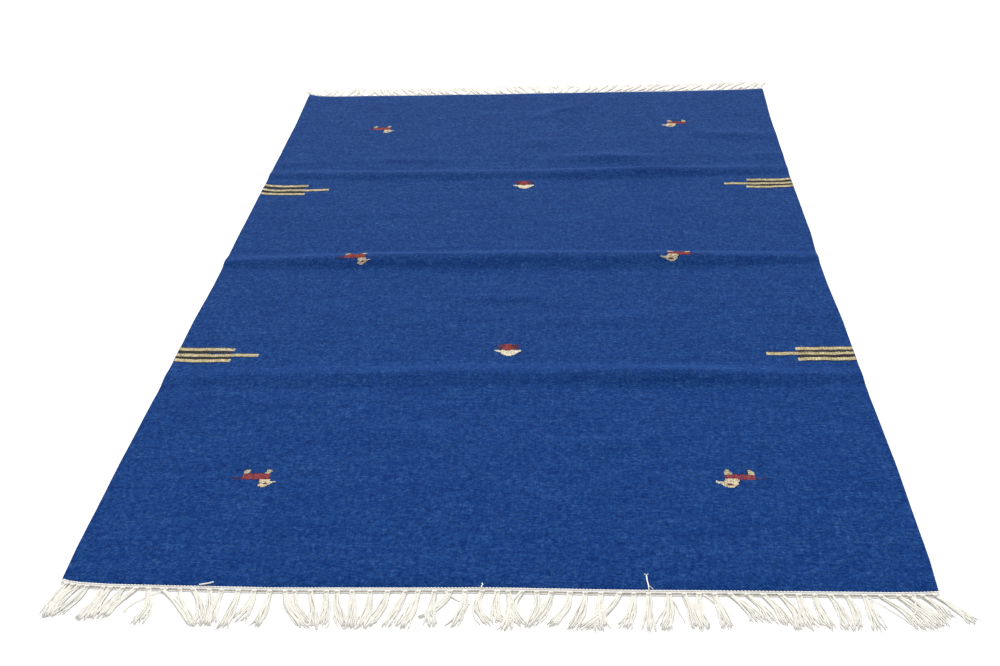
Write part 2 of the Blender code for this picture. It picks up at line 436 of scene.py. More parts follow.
# Each small motif's chart, and where its middle lies
ANIMALS = {
    "animal_far_left": (LEFT_ANIMAL, -0.374, 0.667),
    "animal_far_right": (RIGHT_ANIMAL, 0.366, 0.6805),
    "animal_middle_left": (LEFT_ANIMAL, -0.334, 0.004),
    "animal_middle_right": (RIGHT_ANIMAL, 0.325, 0.008),
    "animal_near_left": (LEFT_ANIMAL, -0.3795, -0.671),
    "animal_near_right": (RIGHT_ANIMAL, 0.3700, -0.6646),
}
TRIANGLES = {
    "triangle_far": (TRIANGLE, -0.002, 0.344),
    "triangle_near": (TRIANGLE, -0.003, -0.3185),
}
# The three bars of each comb, far one first: middle of the bar along the rug, and its inner end
COMBS = {
    "comb_far_left": (
        {"side": -1, "rise": 0.007, "phase": 0.4},
        ((0.351, -0.497), (0.330, -0.449), (0.311, -0.500)),
    ),
    "comb_far_right": (
        {"side": 1, "rise": 0.004, "phase": 2.0},
        ((0.358, 0.496), (0.340, 0.444), (0.323, 0.491)),
    ),
    "comb_near_left": (
        {"side": -1, "rise": 0.003, "phase": 3.1},
        ((-0.316, -0.499), (-0.335, -0.453), (-0.352, -0.502)),
    ),
    "comb_near_right": (
        {"side": 1, "rise": 0.002, "phase": 5.2},
        ((-0.315, 0.500), (-0.330, 0.449), (-0.347, 0.500)),
    ),
}
# A bar's picks from its middle, with how many warps each falls short at the inner end, and its wool
# The K picks at a bar's two edges are painted shade of the slits along the bar
BAR_PICKS = (
    (-2.3, 1, "K"),
    (-1.4, 0, "G"),
    (-0.47, 0, "G"),
    (0.47, 0, "G"),
    (1.4, 0, "G"),
    (2.3, 1, "K"),
)
# The dark picks between an outer bar and the middle one, from the outer bar's middle: painted shade of the
# gap
GAP_PICKS = ((3.2, 1, "K"), (4.1, 1, "K"), (5.0, 1, "K"))
RISE_REACH = 0.045
# A bar wavers by two sines: swing, radians a metre, and how many times over each takes the bar's phase
BAR_WAVERS = ((0.0006, 75, 1), (0.0004, 210, 3))
BAR_PHASE_STEP = 2.1

# Wool: dark, middle and light tone. The letters are those of the charts, and the last number says how
# strongly the wool is heathered.
BLUE_TONES = ((0.0006, 0.0238, 0.132), (0.0046, 0.0350, 0.1580), (0.0134, 0.0516, 0.1890))
WOOLS = {
    "C": ("cream wool", ((0.38, 0.30, 0.18), (0.58, 0.48, 0.32), (0.79, 0.72, 0.54)), 1.1),
    "W": ("pale cream wool", ((0.47, 0.41, 0.29), (0.68, 0.61, 0.45), (0.86, 0.81, 0.65)), 0.7),
    "S": ("straw wool", ((0.26, 0.235, 0.135), (0.40, 0.365, 0.22), (0.58, 0.55, 0.37)), 0.9),
    "R": ("red wool", ((0.13, 0.016, 0.016), (0.235, 0.036, 0.032), (0.37, 0.09, 0.065)), 0.6),
    "P": ("plum wool", ((0.016, 0.020, 0.080), (0.036, 0.030, 0.105), (0.070, 0.042, 0.135)), 0.5),
    "M": ("faded red wool", ((0.050, 0.016, 0.030), (0.10, 0.028, 0.050), (0.16, 0.050, 0.070)), 0.5),
    "E": ("brown wool", ((0.06, 0.022, 0.006), (0.12, 0.045, 0.012), (0.18, 0.08, 0.03)), 1.0),
    "G": ("gold wool", ((0.32, 0.25, 0.13), (0.50, 0.42, 0.235), (0.66, 0.60, 0.40)), 1.2),
    # K and D: dark picks along the motifs' and bars' edges and in the gaps between bars, painted slit shade
    "K": ("black-brown wool of painted slit shade", ((0.016, 0.015, 0.016), (0.030, 0.027, 0.028), (0.056, 0.050, 0.046)), 1.0),
    "D": ("dark wool of painted slit shade", ((0.004, 0.012, 0.045), (0.007, 0.018, 0.065), (0.016, 0.034, 0.10)), 1.0),
}
# Flecks in dyed fleece, then layers of shade: fineness of the noise in x, y and z, its spread, and depth
FLECKS = (420, 800, 400)
FLECK_STOPS = (0.36, 0.50, 0.66)
SHADE_LAYERS = (
    ((190, 260, 150), 0.16, 0.175),
    ((75, 300, 60), 0.17, 0.08),
    ((150, 85, 60), 0.17, 0.08),
    ((310, 42, 60), 0.17, 0.05),
    ((9, 230, 20), 0.18, 0.05),
    ((5, 70, 10), 0.20, 0.05),
    ((14, 20, 10), 0.20, 0.03),
)
SHADE_STRENGTH = 0.92
# How much deeper each layer goes in the weakest colours, and its limits: the flecks stay near neutral, in
# part painted glints of the fibres
GLINT_WEAK_COLOUR_POWER = -0.545
GLINT_WEAK_COLOUR_LIMITS = (1.0, 5.5)
WOOL_FIBRES = (500, 1500, 500)

# The weave's beads: how the picks wander, how a bead falls off along and across, its tones, the painted
# shade at its rim, and fibres
WANDER = (9, 14, 9)
WANDER_PICKS = 3.0
PICK_FALL = 3.2
WARP_FALL = 0.8
BEAD_TONES = ((0.0, 0.84), (1.0, 1.16))
# Painted shade: the colour's share at a bead's rim and towards its middle
BEAD_RIM_PAINTED_SHADE = ((0.1, 0.68), (0.75, 1.04))
WEAVE_FIBRES = (700, 1600, 700)
WEAVE_FIBRE_HEIGHT = 0.35

# Cotton: its pale and shaded tone and its number of plies
COTTONS = {
    "twine": ("twined cotton", (0.88, 0.87, 0.835), (0.80, 0.785, 0.74), 1),
    "loose": ("loose cotton", (0.70, 0.68, 0.622), (0.625, 0.598, 0.535), 2),
    # The slot's dark cotton is painted shade: the slot between the twined rows and the knots lies in shade
    "slot": ("painted slot shade", (0.44, 0.395, 0.345), (0.26, 0.225, 0.19), 1),
}
COTTON_MOTTLE = (120, 80, 120)
COTTON_STOPS = (0.34, 0.56)
# Painted shade in the grooves between the plies: the colour's share there and at a ply's crown
PLY_PAINTED_SHADE = ((0.0, 0.92), (0.45, 1.0))
COTTON_FIBRES = (900, 900, 900)
COTTON_FIBRE_HEIGHT = 0.5

# Camera, from the picture's perspective
CAMERA_PLACE = (0.127, -2.033, 1.1695)
CAMERA_RIGHT = (0.9975, 0.0574, -0.0403)
CAMERA_UP = (0.0020, 0.5503, 0.8349)
CAMERA_LENS = 41.9
CAMERA_SENSOR = 36.0

# Light: the white surround, and one broad light high behind the rug
SURROUND = 0.80
BACK_LIGHT_TURN = (-58.0, 0.0, 4.0)
BACK_LIGHT_SPREAD = 48.0
BACK_LIGHT_POWER = 4.1
FLOOR_REACH = 12.0
FLOOR_DROP = 0.0002
FLOOR_GREY = 0.95

UV_MAP = "yarn"
# A Mix node's two colour inputs and its colour output
MIX_COLOURS = (6, 7)
MIX_RESULT = 2


def column_of(table, places, column):
    """One column of a table, read off at the given places between its rows."""
    rows = np.array(table, float)
    return np.interp(places, rows[:, 0], rows[:, column])


def end_line(side, across):
    """Y of the cloth's end on one side (-1 near, 1 far), at shares across the width."""
    return side * (FIELD_LENGTH / 2 + column_of(END_BOW, across, 1 if side < 0 else 2))


def selvedge_x(y):
    """X of the left and of the right selvedge at y."""
    along = y / (FIELD_LENGTH / 2)
    left = -FIELD_WIDTH / 2 - column_of(SELVEDGE_BOW, along, 1)
    right = FIELD_WIDTH / 2 + column_of(SELVEDGE_BOW, along, 2)
    return left, right


def cloth_x(across, y):
    """X of a point at a share across the cloth and at y."""
    left, right = selvedge_x(y)
    return left + (across + 1) / 2 * (right - left)


def share_across(x, y):
    """The share across the cloth of the point at x, y."""
    left, right = selvedge_x(y)
    return 2 * (x - left) / (right - left) - 1


def crease_lines(crease, across):
    """A crease's crest, height and near run at shares across the cloth."""
    return [np.interp(across, CREASE_PLACES, crease[value]) for value in ("crest", "height", "near_run")]


def crease_lift(across, y):
    """Height of the cloth's underside: half a cosine up each crease's near slope, and one down its far."""
    height = np.zeros(np.broadcast(across, y).shape)
    for crease in CREASES.values():
        crest, top, near_run = crease_lines(crease, across)
        run = np.where(y < crest, near_run, crease["far_run"])
        step = np.clip((y - crest) / run, -1, 1)
        height = height + top * (1 + np.cos(np.pi * step)) / 2
    return height


def unevenness(x, y):
    """Low waves of the cloth, none below the floor: products of two sines that never line up, and the
    ripples, each a bell curve along and across its own direction."""
    height = np.zeros(np.broadcast(x, y).shape)
    for top, *sines in LOW_WAVES:
        first, second = (np.sin(per_x * x + per_y * y + phase) for per_x, per_y, phase in sines)
        height = height + top * (1 + first * second)
    for middle_x, middle_y, degrees, half_length, half_width, top in RIPPLES:
        turn = np.radians(degrees)
        along = ((x - middle_x) * np.cos(turn) + (y - middle_y) * np.sin(turn)) / half_length
        beside = ((y - middle_y) * np.cos(turn) - (x - middle_x) * np.sin(turn)) / half_width
        height = height + top * np.exp(-(along**2) - beside**2)
    return height


def cloth_top(x, y):
    """Height of the cloth's upper side at x, y, without its ribs."""
    return crease_lift(share_across(x, y), y) + unevenness(x, y) + THICKNESS


def new_piece(name, points, face_sets, uv_sets, materials, face_material=None):
    """A mesh from arrays: points in the cloth's frame, faces in sets of one size, and UVs by corner."""
    mesh = bpy.data.meshes.new(name)
    corners = np.concatenate([faces.ravel() for faces in face_sets])
    sizes = np.concatenate([np.full(len(faces), faces.shape[1]) for faces in face_sets])
    mesh.vertices.add(len(points))
    mesh.vertices.foreach_set("co", (points + SHIFT).ravel())
    mesh.loops.add(len(corners))
    mesh.loops.foreach_set("vertex_index", corners.astype(np.int32))
    mesh.polygons.add(len(sizes))
    mesh.polygons.foreach_set("loop_start", (np.cumsum(sizes) - sizes).astype(np.int32))
    if face_material is not None:
        mesh.polygons.foreach_set("material_index", face_material.astype(np.int32))
    mesh.polygons.foreach_set("use_smooth", np.full(len(sizes), True))
    for material in materials:
        mesh.materials.append(material)
    mesh.update(calc_edges=True)
    corner_uvs = np.concatenate([uvs.ravel() for uvs in uv_sets])
    mesh.uv_layers.new(name=UV_MAP).data.foreach_set("uv", corner_uvs.astype(np.float32))
    piece = bpy.data.objects.new(name, mesh)
    bpy.context.scene.collection.objects.link(piece)
    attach(piece, "root")
    return piece


def grid_quads(rows, columns):
    """Faces of a grid of points, turned to face up when rows run along +Y and columns along +X."""
    first = (np.arange(rows - 1)[:, None] * columns + np.arange(columns - 1)).ravel()
    return np.stack([first, first + 1, first + columns + 1, first + columns], axis=1)


def ring_faces(rings, sides):
    """Faces of a skin whose points are rings, one after another, and then two poles: quads and end fans."""
    ring, side = (index.ravel() for index in np.indices((rings - 1, sides)))
    one, two = ring * sides + side, ring * sides + (side + 1) % sides
    quads = np.stack([one, two, two + sides, one + sides], axis=1)
    around = np.arange(sides)
    following = (around + 1) % sides
    last = (rings - 1) * sides
    pole = np.full(sides, rings * sides)
    start_fan = np.stack([following, around, pole], axis=1)
    end_fan = np.stack([last + around, last + following, pole + 1], axis=1)
    return quads, np.concatenate([start_fan, end_fan])


def repeated(faces, count, points_each):
    """The faces of one skin over again for a number of skins, whose points follow one another."""
    starts = points_each * np.arange(count)[:, None, None]
    return (faces + starts).reshape(-1, faces.shape[1])


def tubes(paths, side_radius, up_radius, sides, lay=YARN_LAY):
    """Round tubes along many paths at once: points, quads and end fans, and the UVs of both.

    paths is tube x station x 3, and the radii are tube x station. At each station a ring of points lies at
    cos(turn) x side_radius to the side and sin(turn) x up_radius above, and each end has a fan to its
    middle. U goes once round the tube, and V counts its length in lays of the yarn.
    """
    count, stations, _ = paths.shape
    ahead = np.gradient(paths, axis=1)
    ahead /= np.linalg.norm(ahead, axis=2, keepdims=True)
    to_side = np.cross(ahead, (0.0, 0.0, 1.0))
    to_side /= np.linalg.norm(to_side, axis=2, keepdims=True)
    above = np.cross(to_side, ahead)
    turn = np.linspace(0, 2 * np.pi, sides, endpoint=False)
    ring = (
        np.cos(turn)[:, None] * (to_side * side_radius[..., None])[:, :, None, :]
        + np.sin(turn)[:, None] * (above * up_radius[..., None])[:, :, None, :]
    )
    skin = (paths[:, :, None, :] + ring).reshape(count, stations * sides, 3)
    points = np.concatenate([skin, paths[:, :1], paths[:, -1:]], axis=1)
    quads, fans = ring_faces(stations, sides)
    station, side = np.divmod(quads[:, 0], sides)
    steps = np.linalg.norm(np.diff(paths, axis=1), axis=2)
    length = np.concatenate([np.zeros((count, 1)), np.cumsum(steps, axis=1)], axis=1) / lay
    corner_u = np.stack([side, side + 1, side + 1, side], axis=1) / sides
    u = np.broadcast_to(corner_u, (count, len(quads), 4))
    v = length[:, np.stack([station, station, station + 1, station + 1], axis=1)]
    end_v = np.repeat(length[:, [0, -1]], sides, axis=1)[..., None]
    fan_v = np.broadcast_to(end_v, (count, len(fans), 3))
    fan_uv = np.stack([np.zeros_like(fan_v), fan_v], axis=-1)
    return {
        "points": points.reshape(-1, 3),
        "faces": [repeated(found, count, points.shape[1]) for found in (quads, fans)],
        "uvs": [np.stack([u, v], axis=-1).reshape(-1, 4, 2), fan_uv.reshape(-1, 3, 2)],
    }


def joined(parts):
    """Several skins as one: quads with quads, triangles with triangles."""
    starts = np.cumsum([0] + [len(part["points"]) for part in parts])
    faces = [[part["faces"][kind] + start for part, start in zip(parts, starts)] for kind in (0, 1)]
    return {
        "points": np.concatenate([part["points"] for part in parts]),
        "faces": [np.concatenate(found) for found in faces],
        "uvs": [np.concatenate([part["uvs"][kind] for part in parts]) for kind in (0, 1)],
    }


def skin_piece(name, skin, materials, face_material=None):
    """A piece from a skin, with its material slot."""
    piece = new_piece(name, skin["points"], skin["faces"], skin["uvs"], materials, face_material)
    return piece


def feed(tree, socket, value):
    """Links a socket to the value where that is a socket too, and otherwise sets it."""
    if isinstance(value, bpy.types.NodeSocket):
        tree.links.new(value, socket)
    else:
        socket.default_value = value


def add_node(tree, kind, **inputs):
    """A node of a kind, with each named input set to a value or linked to a socket."""
    node = tree.nodes.new(kind)
    for name, value in inputs.items():
        feed(tree, node.inputs[name], value)
    return node


def math(tree, operation, *values):
    """A math node's result from its values or sockets."""
    node = tree.nodes.new("ShaderNodeMath")
    node.operation = operation
    for socket, value in zip(node.inputs, values):
        feed(tree, socket, value)
    return node.outputs[0]


def noise(tree, place, scale, detail=2.0, roughness=0.5):
    """Noise over a place that is stretched by the three scale numbers, from 0 to 1."""
    stretched = add_node(tree, "ShaderNodeMapping", Vector=place, Scale=scale).outputs["Vector"]
    return add_node(
        tree, "ShaderNodeTexNoise", Vector=stretched, Scale=1.0, Detail=detail, Roughness=roughness
    ).outputs["Fac"]


def ramp(tree, factor, stops):
    """A colour ramp through stops of place and colour, where a lone number stands for a grey."""
    node = add_node(tree, "ShaderNodeValToRGB", Fac=factor)
    elements = node.color_ramp.elements
    while len(elements) < len(stops):
        elements.new(0.5)
    for element, (place, colour) in zip(elements, stops):
        element.position = place
        element.color = (*(colour if isinstance(colour, tuple) else (colour,) * 3), 1.0)
    return node.outputs["Color"]


def multiplied(tree, *colours):
    """Two colours multiplied."""
    node = add_node(tree, "ShaderNodeMix", Factor=1.0)
    node.data_type = "RGBA"
    node.blend_type = "MULTIPLY"
    for number, colour in zip(MIX_COLOURS, colours):
        tree.links.new(colour, node.inputs[number])
    return node.outputs[MIX_RESULT]


def object_place(tree):
    """The place on the rug that a pattern follows."""
    return tree.nodes.new("ShaderNodeTexCoord").outputs["Object"]


def yarn_counts(tree):
    """The two counts of a piece's own UV map: warps and picks on the cloth, turns and lays on a yarn."""
    uv_map = tree.nodes.new("ShaderNodeUVMap")
    uv_map.uv_map = UV_MAP
    counts = add_node(tree, "ShaderNodeSeparateXYZ", Vector=uv_map.outputs["UV"])
    return counts.outputs["X"], counts.outputs["Y"]


def new_material(name, roughness, specular, sheen, sheen_tint):
    """A material with its tree and shader, soft and matt as yarn is."""
    material = bpy.data.materials.new(name)
    material.use_nodes = True
    shader = material.node_tree.nodes["Principled BSDF"]
    shader.inputs["Roughness"].default_value = roughness
    shader.inputs["Specular IOR Level"].default_value = specular
    shader.inputs["Sheen Weight"].default_value = sheen
    shader.inputs["Sheen Roughness"].default_value = 0.5
    shader.inputs["Sheen Tint"].default_value = (*sheen_tint, 1.0)
    return material, material.node_tree, shader


def finish_material(tree, shader, colour, height, strength, distance):
    """Joins a colour and a bump of the given height to the shader."""
    bump = add_node(tree, "ShaderNodeBump", Height=height, Strength=strength, Distance=distance)
    tree.links.new(bump.outputs["Normal"], shader.inputs["Normal"])
    tree.links.new(colour, shader.inputs["Base Color"])


def heathered(tree, place, tones, contrast):
    """Wool dyed in the fleece: flecks in three tones, mottling of a few millimetres, streaks and clouds.

    Each layer of shade goes deepest in the weakest of the three colours, which keeps the flecks near
    neutral: partly the heathered wool's own random tone, partly painted glints of the fibres.
    """
    _, middle, _ = tones
    colour = ramp(tree, noise(tree, place, FLECKS, roughness=0.6), tuple(zip(FLECK_STOPS, tones)))
    # deeper in the weakest colours: near-neutral flecks, in part painted glints of the fibres
    weakness = np.clip((np.array(middle) / max(middle)) ** GLINT_WEAK_COLOUR_POWER, *GLINT_WEAK_COLOUR_LIMITS)
    depths = SHADE_STRENGTH * contrast * weakness
    for scale, spread, depth in SHADE_LAYERS:
        stops = ((0.5 - spread, tuple(1 - depth * depths)), (0.5 + spread, tuple(1 + depth * depths)))
        colour = multiplied(tree, colour, ramp(tree, noise(tree, place, scale, detail=3.0), stops))
    return colour


def from_middle(tree, count):
    """How far a count is from the middle of its bead."""
    return math(tree, "ABSOLUTE", math(tree, "SUBTRACT", math(tree, "FRACT", count), 0.5))


def weave(name, tones):
    """The field's wool. Its UVs count warps and picks, and the picks wander a little.

    Each bead of weft lies over one warp, half a pick off its neighbours, and has its own tone; painted
    shade darkens its rim, where it falls away between beads. It stands up as a small cushion: one, less a
    share of the square of the way from its middle, both along and across.
    """
    material, tree, shader = new_material(
        name, roughness=0.95, specular=0.05, sheen=0.035, sheen_tint=(0.42, 0.80, 1.0)
    )
    place = object_place(tree)
    warp, pick = yarn_counts(tree)
    wander = math(tree, "MULTIPLY", noise(tree, place, WANDER, detail=3.0), WANDER_PICKS)
    offset = math(tree, "MULTIPLY", math(tree, "MODULO", math(tree, "FLOOR", warp), 2.0), 0.5)
    pick = math(tree, "ADD", math(tree, "ADD", pick, wander), offset)
    falls = [
        math(tree, "MULTIPLY", math(tree, "POWER", from_middle(tree, count), 2.0), fall)
        for count, fall in ((pick, PICK_FALL), (warp, WARP_FALL))
    ]
    cushion = math(tree, "SUBTRACT", 1.0, math(tree, "ADD", *falls))
    bead = add_node(tree, "ShaderNodeCombineXYZ", X=math(tree, "FLOOR", warp), Y=math(tree, "FLOOR", pick))
    own = tree.nodes.new("ShaderNodeTexWhiteNoise")
    own.noise_dimensions = "2D"
    tree.links.new(bead.outputs["Vector"], own.inputs["Vector"])
    colour = heathered(tree, place, tones, 1.0)
    colour = multiplied(tree, colour, ramp(tree, own.outputs["Value"], BEAD_TONES))
    # painted shade: the bead's rim darker where the cushion falls away between beads
    colour = multiplied(tree, colour, ramp(tree, cushion, BEAD_RIM_PAINTED_SHADE))
    fibres = math(tree, "MULTIPLY", noise(tree, place, WEAVE_FIBRES), WEAVE_FIBRE_HEIGHT)
    height = math(tree, "ADD", cushion, fibres)
    finish_material(tree, shader, colour, height, strength=0.8, distance=0.0005)
    return material


def wool(name, tones, contrast=1.0):
    """Loose-spun wool yarn: heathered, with fine fibre bumps."""
    material, tree, shader = new_material(
        name, roughness=0.95, specular=0.10, sheen=0.04, sheen_tint=tones[2]
    )
    place = object_place(tree)
    height = noise(tree, place, WOOL_FIBRES, roughness=0.6)
    colour = heathered(tree, place, tones, contrast)
    finish_material(tree, shader, colour, height, strength=0.5, distance=0.0004)
    return material


def cotton(name, pale, shaded, plies):
    """Loose cotton yarn: plies that wind round it by its UVs, with painted shade between them, and
    mottling.
    """
    material, tree, shader = new_material(
        name, roughness=0.9, specular=0.10, sheen=0.45, sheen_tint=(1.0, 0.99, 0.96)
    )
    place = object_place(tree)
    turns, lays = yarn_counts(tree)
    wound = math(tree, "ADD", math(tree, "MULTIPLY", turns, float(plies)), lays)
    ply = math(tree, "ABSOLUTE", math(tree, "SINE", math(tree, "MULTIPLY", wound, np.pi)))
    mottle = noise(tree, place, COTTON_MOTTLE, detail=4.0, roughness=0.7)
    colour = ramp(tree, mottle, tuple(zip(COTTON_STOPS, (shaded, pale))))
    # painted shade in the grooves between the plies
    colour = multiplied(tree, colour, ramp(tree, ply, PLY_PAINTED_SHADE))
    fibres = math(tree, "MULTIPLY", noise(tree, place, COTTON_FIBRES, detail=3.0), COTTON_FIBRE_HEIGHT)
    height = math(tree, "ADD", ply, fibres)
    finish_material(tree, shader, colour, height, strength=0.35, distance=0.0003)
    return material


def field_rows(across):
    """Y of the cloth's rows at every column: close together over the creases, wider apart between them, and
    closer again beside a ripple, by one plus a bell curve for each."""
    steps = np.linspace(-1, 1, 2 * ROWS_TO_CREST + 1)[:, None]
    blocks = []
    for crease in CREASES.values():
        crest, _, near_run = crease_lines(crease, across)
        blocks.append(crest + steps * np.where(steps < 0, near_run, crease["far_run"]))
    near_end, far_end = end_line(-1, across)[None, :], end_line(1, across)[None, :]
    rows = [near_end, near_end + EDGE_ROW]
    share = np.linspace(0, 1, ROW_SAMPLES)
    for block in (*blocks, np.concatenate([far_end - EDGE_ROW, far_end])):
        start = rows[-1][-1]
        y = start.mean() + share * (block[0] - start).mean()
        closeness = 1 + sum(
            RIPPLE_ROWS * np.exp(-(((y - middle_y) / (RIPPLE_ROWS_REACH * half_width)) ** 2))
            for _, middle_y, _, _, half_width, _ in RIPPLES
        )
        passed = np.cumsum(closeness) * (y[1] - y[0]) / FLAT_ROW_STEP
        flat = max(int(passed[-1]), 1)
        chosen = np.interp(np.arange(1, flat) / flat, passed / passed[-1], share)[:, None]
        rows += [start + chosen * (block[0] - start), block]
    return np.vstack(rows)


def field_faces(rows, columns, lower_columns):
    """Faces of the cloth's upper grid, its coarser underside and its four rims, upper points first."""
    base = rows * columns
    under_faces = grid_quads(rows, lower_columns)[:, ::-1] + base
    down = np.arange(rows - 1)
    left_up, left_low = down * columns, base + down * lower_columns
    left_rim = np.stack([left_up + columns, left_low + lower_columns, left_low, left_up], axis=1)
    right_up, right_low = left_up + columns - 1, left_low + lower_columns - 1
    right_rim = np.stack([right_up, right_low, right_low + lower_columns, right_up + columns], axis=1)
    spans = np.arange(lower_columns - 1)[:, None]
    edge = spans * UNDERSIDE_STEP + np.arange(UNDERSIDE_STEP + 1)
    near_rim = np.concatenate([edge[:, ::-1], base + spans, base + spans + 1], axis=1)
    last_up, last_low = base - columns, base + (rows - 1) * lower_columns
    far_rim = np.concatenate([last_up + edge, last_low + spans + 1, last_low + spans], axis=1)
    return [grid_quads(rows, columns), under_faces, left_rim, right_rim, near_rim, far_rim]


def build_field(material):
    """The woven sheet: a ribbed upper grid, a coarser underside, and a rim that joins them.

    Upper side: the crease and unevenness heights plus the thickness, lower by the rib height in the valleys
    between warps. At the two ends each rib's crest stands out by a tooth.
    """
    across = np.linspace(-1, 1, 2 * RIBS + 1)
    crest = np.arange(len(across)) % 2
    y = field_rows(across)
    y[0] -= TOOTH * crest
    y[-1] += TOOTH * crest
    x = cloth_x(across, y)
    lift = crease_lift(across, y) + unevenness(x, y)
    fullness = np.ones_like(y)
    fullness[:, [0, -1]] = SELVEDGE_FULLNESS
    fullness[[0, -1], :] *= END_FULLNESS
    z = lift + THICKNESS * fullness - RIB_HEIGHT * (1 - crest)
    upper = np.stack([x, y, z], axis=-1)
    lower = np.stack([x, y, lift + THICKNESS * (1 - fullness)], axis=-1)[:, ::UNDERSIDE_STEP]
    points = np.concatenate([upper.reshape(-1, 3), lower.reshape(-1, 3)])
    faces = field_faces(*x.shape, lower.shape[1])
    warp = (across + 1) / 2 * RIBS
    upper_uv = np.stack(np.broadcast_arrays(warp, y / PICK), axis=-1)
    point_uv = np.concatenate([upper_uv.reshape(-1, 2), upper_uv[:, ::UNDERSIDE_STEP].reshape(-1, 2)])
    corner_uv = [point_uv[corners] for corners in faces]
    field = new_piece("woven_field", points, faces, corner_uv, [material])
    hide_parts("rug_field")
    return field


def build_selvedges(material):
    """The two selvedges: the weft turned round the outer warps, a tube swollen at each turn by a cosine."""
    half = FIELD_LENGTH / 2 - TURNS_START
    count = int(FIELD_LENGTH / PICK / TURN_PICKS) * TURN_POINTS
    stations = np.linspace(-half, half, count)
    y = np.stack([stations, stations])
    left, right = selvedge_x(stations)
    x = np.stack([left + TURNS_INSET, right - TURNS_INSET])
    lift = crease_lift(np.array([[-1.0], [1.0]]), y) + unevenness(x, y)
    path = np.stack([x, y, lift + THICKNESS / 2 + TURNS_RAISE], axis=-1)
    swell = 1 + TURNS_SWELL * np.cos(2 * np.pi * np.arange(count) / TURN_POINTS)
    radius = TURNS_RADIUS * np.stack([swell, swell])
    return skin_piece("selvedges", tubes(path, radius, radius, TURNS_SIDES), [material])


def weft_beads(name, cells, width, ends, materials, chance):
    """Woven colour: at each place one bead of weft, a short tube drawn in at both ends, no two quite alike.

    cells holds the share across, y and kind of each bead. width is a bead's reach across in shares, and
    ends says what is left of its height and of its width at its two ends.
    """
    across_places, y_places, kinds = cells
    height_left, width_left = (np.array([end, 1.0, 1.0, end]) for end in ends)
    count = len(y_places)
    across = across_places[:, None] + np.array(BEAD_STATIONS) * width
    strayed = y_places + chance.normal(0, BEAD_STRAY, count)
    y = np.repeat(strayed[:, None], len(BEAD_STATIONS), axis=1)
    x = cloth_x(across, y)
    own = chance.uniform(*BEAD_SIZES, (count, 1))
    z = cloth_top(x, y) - BEAD_SINK + chance.uniform(-BEAD_UNEVEN, BEAD_UNEVEN, (count, 1))
    half_width, half_height = BEAD_HALF_WIDTH * own * width_left, BEAD_HEIGHT * own * height_left
    skin = tubes(np.stack([x, y, z], axis=-1), half_width, half_height, BEAD_SIDES)
    face_kinds = np.concatenate([np.repeat(kinds, len(faces) // count) for faces in skin["faces"]])
    return skin_piece(name, skin, materials, face_kinds)


def chart_cells(chart, x, y, letters):
    """Where each letter of a chart falls: whole half warps across, whole picks along."""
    marks = np.array([list(row) for row in chart])
    row, column = np.nonzero(marks != ".")
    rows, columns = marks.shape
    middle = np.floor((share_across(x, y) + 1) * RIBS)
    across = (middle + column - columns // 2 + 0.5) / RIBS - 1
    y_places = y + ((rows - 1) / 2 - row) * PICK
    kinds = np.array([letters.index(mark) for mark in marks[row, column]])
    return across, y_places, kinds


def bar_cells(comb, bars, letters):
    """Places of a comb's beads, from the selvedge to each bar's inner end.

    Towards the selvedge the bars rise away from the near end by the square of the way left, and each bar
    wavers by two sines of its own. An outer bar also has the dark picks of painted gap shade on its side of
    the middle one.
    """
    places = []
    for number, (middle, inner) in enumerate(bars):
        inner_rib = np.round((share_across(inner, middle) + 1) / 2 * RIBS)
        phase = comb["phase"] + BAR_PHASE_STEP * number
        inwards = number - 1
        gap_picks = tuple((inwards * pick, short, letter) for pick, short, letter in GAP_PICKS)
        for pick, short, letter in BAR_PICKS + (gap_picks if inwards else ()):
            span = (0, inner_rib - short) if comb["side"] < 0 else (inner_rib + short, RIBS)
            across = (np.arange(*span) + 0.5) / RIBS * 2 - 1
            from_edge = (1 - np.abs(across)) * FIELD_WIDTH / 2
            rise = comb["rise"] * np.clip(1 - from_edge / RISE_REACH, 0, 1) ** 2
            wavers = [swing * np.sin(pace * from_edge + times * phase) for swing, pace, times in BAR_WAVERS]
            kind = np.full(len(across), letters.index(letter))
            places.append(np.stack([across, middle + pick * PICK + rise + sum(wavers), kind]))
    across, y, kinds = np.concatenate(places, axis=1)
    return across, y, kinds.astype(int)


def build_motifs(wools):
    """The animals, triangles and combs, each a patch of weft beads in wools by their letters."""
    letters, materials = list(wools), list(wools.values())
    chance = np.random.default_rng(MOTIF_SEED)
    cells = {name: chart_cells(*motif, letters) for name, motif in (ANIMALS | TRIANGLES).items()}
    pieces = [
        weft_beads(name, found, 1 / RIBS, MOTIF_BEAD_ENDS, materials, chance)
        for name, found in cells.items()
    ]
    for name, (comb, bars) in COMBS.items():
        found = bar_cells(comb, bars, letters)
        pieces.append(weft_beads(name, found, 2 / RIBS, COMB_BEAD_ENDS, materials, chance))
    return pieces


def along_end(side, out, height, radius, sides, swell=0.0, phase=0.0):
    """A cord across the rug's end. Twined, it swells by a cosine of the warp count and slants by a sine."""
    per_warp = POINTS_TO_WARP if swell else 1
    steps = RIBS * per_warp
    across = np.linspace(-1, 1, steps + 1)
    turned = np.arange(steps + 1) / per_warp + phase
    size = radius * (1 - swell / 2 + swell * (np.abs(np.cos(np.pi * turned)) - 0.5))
    slant = TWINE_SLANT * swell * radius * np.sin(2 * np.pi * turned)
    y = end_line(side, across) + side * (out + slant)
    x = cloth_x(across, y)
    path = np.stack([x, y, np.full_like(x, height)], axis=-1)
    return tubes(path[None], size[None], size[None], sides, RIB_PITCH)


